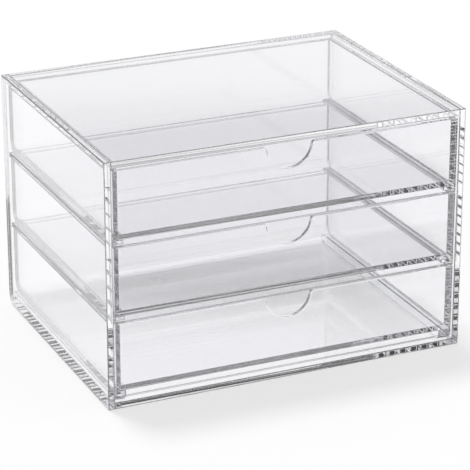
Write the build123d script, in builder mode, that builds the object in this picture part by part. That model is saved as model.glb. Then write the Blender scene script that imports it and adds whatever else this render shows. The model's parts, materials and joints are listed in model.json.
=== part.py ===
"""Clear desk box with three drawers, made of cut, heat-bent and bonded acrylic sheet.

Millimetres, +Z up. The origin is the middle of the underside, and the drawer fronts face -Y.
"""

import os

from build123d import *

os.makedirs("parts", exist_ok=True)

# Outside of the case
case_width = 175.0
case_depth = 132.0

# Sheet stock, the inside radius of its heat bends, and the film of cement between bonded faces
case_sheet = 3.0
case_bend = 2.0
drawer_sheet = 2.5
drawer_bend = 4.0
cement_line = 0.05

# Rails bonded to the case sides: a pair on the base, and a thinner pair under each upper drawer
rail_width = 6.0
rail_setback = 3.0
base_rail_height = 4.6
rail_thickness = 2.0
rail_running_gap = 0.1

# Drawers, from the bottom up, and the room that each one runs in
drawer_names = ["bottom", "middle", "top"]
drawer_height = 32.6
side_clearance = 1.0
head_clearance = 1.0
back_clearance = 1.5
top_headroom = 1.3

# Drawer fronts, which hang below the floor to cover the ends of the rails
front_drop = 2.6

# Half-round finger notch in the top edge of each drawer front
notch_radius = 11.0
notch_depth = 11.0
notch_shoulder = 1.5
eased_edge = 0.5

# Case
case_front = -case_depth / 2
case_back = case_depth / 2
case_inner_width = case_width - 2 * case_sheet

# Stack of drawers, each one running on its pair of rails
base_rail_top = case_sheet + base_rail_height
drawer_pitch = rail_running_gap + drawer_height + head_clearance + rail_thickness
rail_tops = [base_rail_top + index * drawer_pitch for index in range(len(drawer_names))]
drawer_levels = [rail_top + rail_running_gap for rail_top in rail_tops]
case_height = drawer_levels[-1] + drawer_height + top_headroom + case_sheet

# Rails run from just behind the drawer fronts to where the back starts to bend up from the base
rail_front = case_front + rail_setback
rail_back = case_back - case_sheet - case_bend

# Drawers, with a front that covers the ends of the sides and the floor
drawer_width = case_inner_width - 2 * side_clearance
drawer_inner_width = drawer_width - 2 * drawer_sheet
drawer_back = case_back - case_sheet - back_clearance
behind_front = case_front + drawer_sheet + cement_line


def keep(piece, label):
    """Name a finished piece and write it out."""
    piece.part.label = label
    export_step(piece.part, f"parts/{label}.step")


def side_plate(label, x, thickness, front, back, bottom, top, corner):
    """Upright plate from x towards +X, its lower back corner rounded to follow a bent sheet."""
    with BuildPart() as plate:
        with BuildSketch(Plane.YZ.offset(x)) as outline:
            with Locations(((front + back) / 2, (bottom + top) / 2)):
                Rectangle(back - front, top - bottom)
            lower_back = outline.vertices().group_by(Axis.Y)[0].sort_by(Axis.X)[-1]
            fillet(lower_back, corner)
        extrude(amount=thickness)
    keep(plate, label)


def bent_sheet(label, width, thickness, corner, front, back, bottom, top):
    """One sheet bent up along its back edge, so that floor and back are a single piece."""
    with BuildPart() as sheet:
        with BuildSketch(Plane.YZ):
            with BuildLine():
                FilletPolyline((front, bottom), (back, bottom), (back, top), radius=corner)
                offset(amount=thickness, side=Side.LEFT)
            make_face()
        extrude(amount=width / 2, both=True)
    keep(sheet, label)


def top_panel(label):
    """Flat panel between the case sides, over the top edge of the back."""
    with BuildPart() as panel:
        with BuildSketch(Plane.XY.offset(case_height)):
            Rectangle(case_inner_width - 2 * cement_line, case_depth)
        extrude(amount=-case_sheet)
    keep(panel, label)


def rail(label, side, bottom, top):
    """Strip along one case side, on the left for side -1 and on the right for side 1."""
    middle_x = side * (case_inner_width / 2 - cement_line - rail_width / 2)
    with BuildPart() as strip:
        with BuildSketch(Plane.XY.offset(bottom)):
            with Locations((middle_x, (rail_front + rail_back) / 2)):
                Rectangle(rail_width, rail_back - rail_front)
        extrude(amount=top - bottom)
    keep(strip, label)


def drawer_front(label, bottom, top):
    """Flat front with the finger notch, its top edge and the notch eased all along."""
    with BuildPart() as front:
        with BuildSketch(Plane.XZ.offset(-case_front)) as outline:
            with Locations((0, (bottom + top) / 2)):
                Rectangle(drawer_width, top - bottom)
            with Locations((0, top - notch_depth + notch_radius)):
                Circle(notch_radius, mode=Mode.SUBTRACT)
            shoulders = outline.vertices().group_by(Axis.Y)[-1].sort_by(Axis.X)[1:-1]
            fillet(shoulders, notch_shoulder)
        extrude(amount=-drawer_sheet)
        level_edges = front.faces().filter_by(Axis.Y).edges().filter_by(Axis.Z, reverse=True)
        upper_edges = level_edges.group_by(Axis.Z)[1:]
        fillet([edge for group in upper_edges for edge in group], eased_edge)
    keep(front, label)


# Case: two sides, the bent back and base, the top panel and the rails
case_corner = case_bend + case_sheet
for side_name, x in [("left", -case_width / 2), ("right", case_width / 2 - case_sheet)]:
    side_plate(
        f"case_{side_name}_side", x, case_sheet, case_front, case_back, 0, case_height, case_corner
    )

bent_sheet(
    "case_back_and_base",
    case_inner_width - 2 * cement_line,
    case_sheet,
    case_corner,
    case_front,
    case_back,
    0,
    case_height - case_sheet - cement_line,
)

top_panel("case_top")

for name, rail_top in zip(drawer_names, rail_tops):
    on_base = rail_top == base_rail_top
    rail_bottom = case_sheet + cement_line if on_base else rail_top - rail_thickness
    rail(f"{name}_left_rail", -1, rail_bottom, rail_top)
    rail(f"{name}_right_rail", 1, rail_bottom, rail_top)

# Drawers: a front, two sides, and a floor and back bent from one sheet
drawer_corner = drawer_bend + drawer_sheet
for name, level in zip(drawer_names, drawer_levels):
    top = level + drawer_height
    drawer_front(f"{name}_drawer_front", level - front_drop, top)
    for side_name, x in [("left", -drawer_width / 2), ("right", drawer_width / 2 - drawer_sheet)]:
        side_plate(
            f"{name}_drawer_{side_name}_side",
            x,
            drawer_sheet,
            behind_front,
            drawer_back,
            level,
            top,
            drawer_corner,
        )
    bent_sheet(
        f"{name}_drawer_floor_and_back",
        drawer_inner_width - 2 * cement_line,
        drawer_sheet,
        drawer_corner,
        behind_front,
        drawer_back,
        level,
        top,
    )
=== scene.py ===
"""Looks of the clear three-drawer box: acrylic finish, white studio, soft light and the photo's camera.

Metres, +Z up, drawers facing -Y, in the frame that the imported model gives.
"""

import json
import math

import bpy
from mathutils import Matrix, Vector


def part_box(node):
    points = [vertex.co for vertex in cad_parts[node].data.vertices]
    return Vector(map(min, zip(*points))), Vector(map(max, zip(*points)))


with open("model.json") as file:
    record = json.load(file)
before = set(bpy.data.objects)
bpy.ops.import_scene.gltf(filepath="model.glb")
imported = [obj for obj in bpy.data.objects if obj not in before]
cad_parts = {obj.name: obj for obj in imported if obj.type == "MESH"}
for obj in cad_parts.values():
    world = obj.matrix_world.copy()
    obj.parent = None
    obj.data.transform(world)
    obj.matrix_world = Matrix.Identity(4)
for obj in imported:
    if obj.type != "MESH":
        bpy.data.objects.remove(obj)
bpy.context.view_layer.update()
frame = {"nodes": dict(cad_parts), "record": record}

MM = 0.001
WHITE = "ffffff"

# Camera, as fitted to the outer corners of the box in the photograph
IMAGE_SIDE_PX = 470
FOCAL_PX = 2422
SENSOR_MM = 36.0
VIEW_AZIMUTH = -24.19
VIEW_ELEVATION = 21.85
CAMERA_DISTANCE = 1156.6 * MM
CAMERA_RIGHT = 2.8 * MM
CAMERA_UP = 41.6 * MM
CAMERA_REACH = 50.0

# Studio, as the acrylic shows it: grey by elevation all round, then cards that hang in front of that.
# Elevations are in degrees, azimuths in degrees from +Y towards +X.
RINGS = (
    (0, "ffffff"),
    (4.5, "ffffff"),
    (5, "000000"),
    (9, "000000"),
    (9.5, "ffffff"),
    (15.5, "ffffff"),
    (17, "f0f0f1"),
    (18.4, "e2e2e4"),
    (19.1, "c0c0c3"),
    (19.5, "bcbcbf"),
    (21.4, "b0b0b3"),
    (22, "a4a4a8"),
    (22.6, "404044"),
    (23.2, "404044"),
    (24.2, "cacacc"),
    (27, "dadadc"),
    (35, "dadadc"),
    (36, "f4f4f4"),
    (45, "f4f4f4"),
    (45.5, "000000"),
    (90, "000000"),
)
ZENITH = 90

# Each card: from and to azimuth, from and to elevation, colour. The first draws the dark bars in the front
# edges of the floors, the second the light strip in those edges, the third the dark band in the base's edge.
CARDS = (
    (-75, -5, 16.5, 29, "000000"),
    (60, 120, 64, 80, "ffffff"),
    (0, 45, 33, 45, "000000"),
)

# White paper floor, lit by a white sky and a soft key light from behind, with a little glow of its own
FLOOR_SIDE = 8.0
FLOOR_GAP = 0.2 * MM
FLOOR_GLOW = 0.68
FLOOR_GLOW_THROUGH_ACRYLIC = 0.95
SKY_SHARE = 0.45
KEY_SHARE = 0.55
KEY_ANGLE = 12
KEY_TRAVEL = Vector((8, -34, -116)).normalized()
LIGHT_BOUNCES = 96

# Acrylic sheet and its bonded joints
ACRYLIC_IOR = 1.49
ACRYLIC_TINT = "fefeff"
CASE_SHEET = 3 * MM
DRAWER_SHEET = 2.5 * MM
CEMENT_REACH = 0.06 * MM
LEAST_BOND = 1 * MM

# Faint rolling and scuffs on the faces
ROLL_LENGTH = 25 * MM
ROLL_HEIGHT = 0.002 * MM
ROLL_DETAIL = 1.0
SCUFF_LENGTH = 6 * MM
SCUFF_ROUGHNESS = 0.02
SCUFF_DETAIL = 4.0

# Saw marks left in the polished edges, finer on real sheet and drawn as coarse as they need to show
CUT_REACH = 0.02 * MM
CUT_SPACING = 1.6 * MM
CUT_HEIGHT = 0.001 * MM
CUT_DETAIL = 2.0
CUT_ROUGHNESS = 0.005

# Scraped arrises, narrower on real sheet and drawn as wide as they need to show, with a line of painted shade
# along them
ARRIS_EASE = 0.5 * MM
FRONT_ARRIS_EASE = 0.2 * MM
# Colour of the painted shade along free arrises, standing in for the dark they show by refraction
ARRIS_PAINTED_SHADE = "000000"

# Farther than any piece reaches
BEYOND = 1.0


def linear(hex_colour):
    """Linear RGBA of an sRGB hex colour such as f4f5f7."""
    channels = [int(hex_colour[i : i + 2], 16) / 255 for i in (0, 2, 4)]
    return [c / 12.92 if c <= 0.04045 else ((c + 0.055) / 1.055) ** 2.4 for c in channels] + [1.0]


def add_node(tree, kind, settings=None, inputs=None):
    """A new node with its settings; an input given as another node's output is linked to it."""
    node = tree.nodes.new(kind)
    for name, value in (settings or {}).items():
        setattr(node, name, value)
    for name, value in (inputs or {}).items():
        if isinstance(value, bpy.types.NodeSocket):
            tree.links.new(value, node.inputs[name])
        else:
            node.inputs[name].default_value = value
    return node


def new_material(name):
    """An empty node material."""
    material = bpy.data.materials.new(name)
    material.use_nodes = True
    material.node_tree.nodes.clear()
    return material, material.node_tree


def is_bent(name):
    """Whether a piece is a floor and a back bent from one sheet."""
    return "_back" in name


def thin_axis(name):
    """The axis that a plate is thinnest along: 0 for X, 1 for Y, 2 for Z."""
    low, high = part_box(name)
    size = list(high - low)
    return size.index(min(size))


def plates(name):
    """The flat stretches of a piece as boxes: one, or the floor and the back of a bent sheet."""
    low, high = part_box(name)
    if not is_bent(name):
        return [(low, high)]
    sheet = DRAWER_SHEET if "drawer" in name else CASE_SHEET
    floor = low, Vector((high.x, high.y, low.z + sheet))
    back = Vector((low.x, high.y - sheet, low.z)), high
    return [floor, back]


def bonded_patches(name, neighbours):
    """Boxes round the joints where a piece is cemented to its neighbours."""
    patches = []
    for neighbour in neighbours:
        for low, high in plates(name):
            for other_low, other_high in plates(neighbour):
                start = Vector([max(pair) - CEMENT_REACH for pair in zip(low, other_low)])
                end = Vector([min(pair) + CEMENT_REACH for pair in zip(high, other_high)])
                least, middle, most = sorted(end - start)
                if least > 0 and middle > LEAST_BOND:
                    patches.append((start, end))
    return patches


def cut_edges(name):
    """Boxes that hold a piece's cut edges: a bent sheet's two ends, or all but a plate's broad faces."""
    low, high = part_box(name)
    if is_bent(name):
        reach = Vector((CUT_REACH, CUT_REACH, CUT_REACH))
        floor, back = plates(name)
        front_end = low - reach, Vector((high.x, low.y, floor[1].z)) + reach
        top_end = Vector((low.x, back[0].y, high.z)) - reach, high + reach
        return [front_end, top_end]
    thin = thin_axis(name)
    inward = Vector([-CUT_REACH if axis == thin else CUT_REACH for axis in range(3)])
    return [(low - inward, high + inward)]


def arris_boxes(name):
    """Boxes whose edges are a piece's arrises; those of a bent sheet run on where it bends."""
    if not is_bent(name):
        return plates(name)
    (floor_low, floor_high), (back_low, back_high) = plates(name)
    floor = floor_low, floor_high + Vector((0, BEYOND, 0))
    back = back_low - Vector((0, 0, BEYOND)), back_high
    return [floor, back]


def arris_distance(tree, position, boxes):
    """How far along the surface the nearest arris is: the middle one of the depths below a box's faces."""
    nearest = BEYOND
    for low, high in boxes:
        offset = add_node(
            tree, "ShaderNodeVectorMath", {"operation": "SUBTRACT"}, {0: position, 1: (low + high) / 2}
        )
        away = add_node(tree, "ShaderNodeVectorMath", {"operation": "ABSOLUTE"}, {0: offset.outputs[0]})
        below = add_node(
            tree,
            "ShaderNodeVectorMath",
            {"operation": "SUBTRACT"},
            {0: (high - low) / 2, 1: away.outputs[0]},
        )
        x, y, z = add_node(tree, "ShaderNodeSeparateXYZ", inputs={"Vector": below.outputs[0]}).outputs
        least = add_node(tree, "ShaderNodeMath", {"operation": "MINIMUM"}, {0: x, 1: y})
        most = add_node(tree, "ShaderNodeMath", {"operation": "MAXIMUM"}, {0: x, 1: y})
        upper = add_node(tree, "ShaderNodeMath", {"operation": "MINIMUM"}, {0: most.outputs[0], 1: z})
        middle = add_node(
            tree, "ShaderNodeMath", {"operation": "MAXIMUM"}, {0: least.outputs[0], 1: upper.outputs[0]}
        )
        closer = add_node(
            tree, "ShaderNodeMath", {"operation": "MINIMUM"}, {0: nearest, 1: middle.outputs[0]}
        )
        nearest = closer.outputs[0]
    return nearest


def inside_mask(tree, place, boxes):
    """1 inside any of the boxes, 0 elsewhere."""
    mask = 0.0
    for box in boxes:
        inside = 1.0
        for coordinate, least, most in zip(place, *box):
            within = add_node(
                tree,
                "ShaderNodeMath",
                {"operation": "COMPARE"},
                {0: coordinate, 1: (least + most) / 2, 2: (most - least) / 2},
            )
            both = add_node(
                tree, "ShaderNodeMath", {"operation": "MULTIPLY"}, {0: inside, 1: within.outputs[0]}
            )
            inside = both.outputs[0]
        either = add_node(tree, "ShaderNodeMath", {"operation": "MAXIMUM"}, {0: mask, 1: inside})
        mask = either.outputs[0]
    return mask


def off_or_through_acrylic(tree, path):
    """1 for a ray that last met the acrylic, by reflection or by passing through."""
    either = add_node(
        tree,
        "ShaderNodeMath",
        {"operation": "MAXIMUM"},
        {0: path.outputs["Is Glossy Ray"], 1: path.outputs["Is Transmission Ray"]},
    )
    return either.outputs[0]


def clear_acrylic(name, patches):
    """Cast acrylic sheet, clear and polished, a hair less than flat, with saw marks left in its edges.

    Cement fuses the joints, so light runs on through them from sheet to sheet and shows as bright and dark
    bars in the edges. An index of 1 on those faces lets it through.
    """
    material, tree = new_material("clear_cast_acrylic_" + name)
    position = add_node(tree, "ShaderNodeTexCoord").outputs["Object"]
    place = add_node(tree, "ShaderNodeSeparateXYZ", inputs={"Vector": position})
    bonded = inside_mask(tree, place.outputs, patches)
    cut = inside_mask(tree, place.outputs, cut_edges(name))

    # The sheet rolls very slightly, which bends the reflections in its broad faces
    roll = add_node(
        tree,
        "ShaderNodeTexNoise",
        inputs={"Vector": position, "Scale": 1 / ROLL_LENGTH, "Detail": ROLL_DETAIL},
    )
    rolled = add_node(
        tree,
        "ShaderNodeBump",
        inputs={"Height": roll.outputs["Fac"], "Strength": 1.0, "Distance": ROLL_HEIGHT},
    )

    # Saw marks run through the thickness of an edge, so the pattern stands still along the thin axis
    along = [1, 0, 0] if is_bent(name) else [axis != thin_axis(name) for axis in range(3)]
    stretched = add_node(tree, "ShaderNodeMapping", inputs={"Vector": position, "Scale": along})
    saw = add_node(
        tree,
        "ShaderNodeTexNoise",
        inputs={"Vector": stretched.outputs["Vector"], "Scale": 1 / CUT_SPACING, "Detail": CUT_DETAIL},
    )
    marks = add_node(tree, "ShaderNodeMath", {"operation": "MULTIPLY"}, {0: saw.outputs["Fac"], 1: cut})
    sawn = add_node(
        tree,
        "ShaderNodeBump",
        inputs={
            "Height": marks.outputs[0],
            "Strength": 1.0,
            "Distance": CUT_HEIGHT,
            "Normal": rolled.outputs["Normal"],
        },
    )

    # Scraped arrises fall away like a small round, and a fine line of painted shade, black in the colour,
    # runs along every free edge
    ease = FRONT_ARRIS_EASE if name.endswith("_front") else ARRIS_EASE
    arris = arris_distance(tree, position, arris_boxes(name))
    reached = add_node(
        tree, "ShaderNodeMath", {"operation": "SUBTRACT", "use_clamp": True}, {0: ease, 1: arris}
    )
    free = add_node(tree, "ShaderNodeMath", {"operation": "SUBTRACT"}, {0: 1.0, 1: bonded})
    near = add_node(
        tree, "ShaderNodeMath", {"operation": "MULTIPLY"}, {0: reached.outputs[0], 1: free.outputs[0]}
    )
    squared = add_node(
        tree, "ShaderNodeMath", {"operation": "MULTIPLY"}, {0: near.outputs[0], 1: near.outputs[0]}
    )
    fall = add_node(tree, "ShaderNodeMath", {"operation": "DIVIDE"}, {0: squared.outputs[0], 1: 2 * ease})
    eased = add_node(
        tree,
        "ShaderNodeBump",
        {"invert": True},
        {"Height": fall.outputs[0], "Strength": 1.0, "Distance": 1.0, "Normal": sawn.outputs["Normal"]},
    )
    # Painted shade: the colour goes to black at each free arris and back to the tint at the ease
    painted_shade = add_node(tree, "ShaderNodeMath", {"operation": "DIVIDE"}, {0: near.outputs[0], 1: ease})
    colour = add_node(
        tree,
        "ShaderNodeMix",
        {"data_type": "RGBA"},
        {"Factor": painted_shade.outputs[0], 6: linear(ACRYLIC_TINT), 7: linear(ARRIS_PAINTED_SHADE)},
    )

    # Faint scuffs on the faces, and a softer polish on the edges
    scuff = add_node(
        tree,
        "ShaderNodeTexNoise",
        inputs={"Vector": position, "Scale": 1 / SCUFF_LENGTH, "Detail": SCUFF_DETAIL},
    )
    faces = add_node(
        tree, "ShaderNodeMath", {"operation": "MULTIPLY"}, {0: scuff.outputs["Fac"], 1: SCUFF_ROUGHNESS}
    )
    roughness = add_node(
        tree,
        "ShaderNodeMath",
        {"operation": "MULTIPLY_ADD"},
        {0: cut, 1: CUT_ROUGHNESS, 2: faces.outputs[0]},
    )

    # The index of refraction is the sheet's own, and 1 on the cemented faces
    index = add_node(
        tree,
        "ShaderNodeMath",
        {"operation": "MULTIPLY_ADD"},
        {0: bonded, 1: 1.0 - ACRYLIC_IOR, 2: ACRYLIC_IOR},
    )
    shader = add_node(
        tree,
        "ShaderNodeBsdfPrincipled",
        inputs={
            "Base Color": colour.outputs[2],
            "Roughness": roughness.outputs[0],
            "IOR": index.outputs[0],
            "Transmission Weight": 1.0,
            "Normal": eased.outputs["Normal"],
        },
    )
    add_node(tree, "ShaderNodeOutputMaterial", inputs={"Surface": shader.outputs["BSDF"]})
    return material


def studio_floor():
    """Matt white paper, which stays white to the eye and keeps a soft shadow."""
    bpy.ops.object.select_all(action="DESELECT")
    bpy.ops.mesh.primitive_plane_add(size=FLOOR_SIDE, location=(0, 0, -FLOOR_GAP))
    floor = bpy.context.object
    floor.name = "studio_floor"
    bpy.ops.object.transform_apply(location=True, rotation=False, scale=False)
    material, tree = new_material("white_paper_sweep")
    paper = add_node(tree, "ShaderNodeBsdfDiffuse", inputs={"Color": linear(WHITE)})
    white = add_node(tree, "ShaderNodeEmission", inputs={"Color": linear(WHITE), "Strength": 1.0})
    path = add_node(tree, "ShaderNodeLightPath")
    direct = add_node(
        tree, "ShaderNodeMath", {"operation": "MULTIPLY"}, {0: path.outputs["Is Camera Ray"], 1: FLOOR_GLOW}
    )
    glow = add_node(
        tree,
        "ShaderNodeMath",
        {"operation": "MULTIPLY_ADD"},
        {0: off_or_through_acrylic(tree, path), 1: FLOOR_GLOW_THROUGH_ACRYLIC, 2: direct.outputs[0]},
    )
    mixed = add_node(
        tree,
        "ShaderNodeMixShader",
        inputs={0: glow.outputs[0], 1: paper.outputs["BSDF"], 2: white.outputs["Emission"]},
    )
    add_node(tree, "ShaderNodeOutputMaterial", inputs={"Surface": mixed.outputs["Shader"]})
    floor.data.materials.append(material)


def key_light():
    """Soft light from high behind the box, which throws its shadow forward; the acrylic doesn't mirror it."""
    data = bpy.data.lights.new("key_light", "SUN")
    data.angle = math.radians(KEY_ANGLE)
    data.energy = KEY_SHARE * math.pi / -KEY_TRAVEL.z
    lamp = bpy.data.objects.new("key_light", data)
    lamp.rotation_euler = KEY_TRAVEL.to_track_quat("-Z", "Y").to_euler()
    lamp.visible_glossy = False
    lamp.visible_transmission = False
    bpy.context.collection.objects.link(lamp)


def studio_world():
    """White for the camera and an even sky for the floor; rings and cards where the acrylic shows them."""
    world = bpy.data.worlds.new("studio")
    bpy.context.scene.world = world
    world.use_nodes = True
    tree = world.node_tree
    tree.nodes.clear()
    towards = add_node(tree, "ShaderNodeTexCoord").outputs["Generated"]
    east, north, height = add_node(tree, "ShaderNodeSeparateXYZ", inputs={"Vector": towards}).outputs
    arcsine = add_node(tree, "ShaderNodeMath", {"operation": "ARCSINE"}, {0: height})
    elevation = add_node(tree, "ShaderNodeMath", {"operation": "DEGREES"}, {0: arcsine.outputs[0]})
    arctangent = add_node(tree, "ShaderNodeMath", {"operation": "ARCTAN2"}, {0: east, 1: north})
    azimuth = add_node(tree, "ShaderNodeMath", {"operation": "DEGREES"}, {0: arctangent.outputs[0]})

    # Rings by elevation, and then the cards
    share = add_node(tree, "ShaderNodeMath", {"operation": "DIVIDE"}, {0: elevation.outputs[0], 1: ZENITH})
    rings = add_node(tree, "ShaderNodeValToRGB", inputs={"Fac": share.outputs[0]})
    stops = rings.color_ramp.elements
    while len(stops) < len(RINGS):
        stops.new(1.0)
    for stop, (degrees, colour) in zip(stops, RINGS):
        stop.position = degrees / ZENITH
        stop.color = linear(colour)
    studio_colour = rings.outputs["Color"]
    for left, right, low, high, colour in CARDS:
        card = (left, low), (right, high)
        on_card = inside_mask(tree, (azimuth.outputs[0], elevation.outputs[0]), [card])
        hung = add_node(
            tree,
            "ShaderNodeMix",
            {"data_type": "RGBA"},
            {"Factor": on_card, 6: studio_colour, 7: linear(colour)},
        )
        studio_colour = hung.outputs[2]

    # Rays that have left the floor meet a plain sky, and so do the camera's own past the box
    path = add_node(tree, "ShaderNodeLightPath")
    from_floor = add_node(
        tree, "ShaderNodeMath", {"operation": "MINIMUM"}, {0: path.outputs["Diffuse Depth"], 1: 1.0}
    )
    shown = add_node(
        tree,
        "ShaderNodeMath",
        {"operation": "SUBTRACT", "use_clamp": True},
        {0: off_or_through_acrylic(tree, path), 1: from_floor.outputs[0]},
    )
    level = add_node(
        tree,
        "ShaderNodeMath",
        {"operation": "MULTIPLY_ADD"},
        {0: from_floor.outputs[0], 1: SKY_SHARE - 1.0, 2: 1.0},
    )
    studio = add_node(tree, "ShaderNodeBackground", inputs={"Color": studio_colour, "Strength": 1.0})
    sky = add_node(
        tree, "ShaderNodeBackground", inputs={"Color": linear(WHITE), "Strength": level.outputs[0]}
    )
    mixed = add_node(
        tree,
        "ShaderNodeMixShader",
        inputs={0: shown.outputs[0], 1: sky.outputs["Background"], 2: studio.outputs["Background"]},
    )
    add_node(tree, "ShaderNodeOutputWorld", inputs={"Surface": mixed.outputs["Shader"]})


def photo_camera():
    """Camera at the photograph's viewing angle."""
    azimuth, elevation = math.radians(VIEW_AZIMUTH), math.radians(VIEW_ELEVATION)
    right = Vector((math.cos(azimuth), math.sin(azimuth), 0))
    back = Vector(
        (
            math.sin(azimuth) * math.cos(elevation),
            -math.cos(azimuth) * math.cos(elevation),
            math.sin(elevation),
        )
    )
    up = back.cross(right)
    data = bpy.data.cameras.new("photo_camera")
    data.sensor_width = SENSOR_MM
    data.lens = FOCAL_PX / IMAGE_SIDE_PX * SENSOR_MM
    data.clip_end = CAMERA_REACH
    camera = bpy.data.objects.new("photo_camera", data)
    bpy.context.collection.objects.link(camera)
    place = right * CAMERA_RIGHT + up * CAMERA_UP + back * CAMERA_DISTANCE
    camera.matrix_world = Matrix.Translation(place) @ Matrix((right, up, back)).transposed().to_4x4()
    bpy.context.scene.camera = camera


for members in frame["record"]["behaviour"]["bodies"].values():
    for name in members:
        neighbours = [other for other in members if other != name]
        node = frame["nodes"][name]
        node.data.materials.clear()
        node.data.materials.append(clear_acrylic(name, bonded_patches(name, neighbours)))

studio_floor()
key_light()
studio_world()
photo_camera()

scene = bpy.context.scene
scene.view_settings.view_transform = "Standard"
scene.cycles.max_bounces = LIGHT_BOUNCES
scene.cycles.transmission_bounces = LIGHT_BOUNCES
scene.cycles.glossy_bounces = LIGHT_BOUNCES
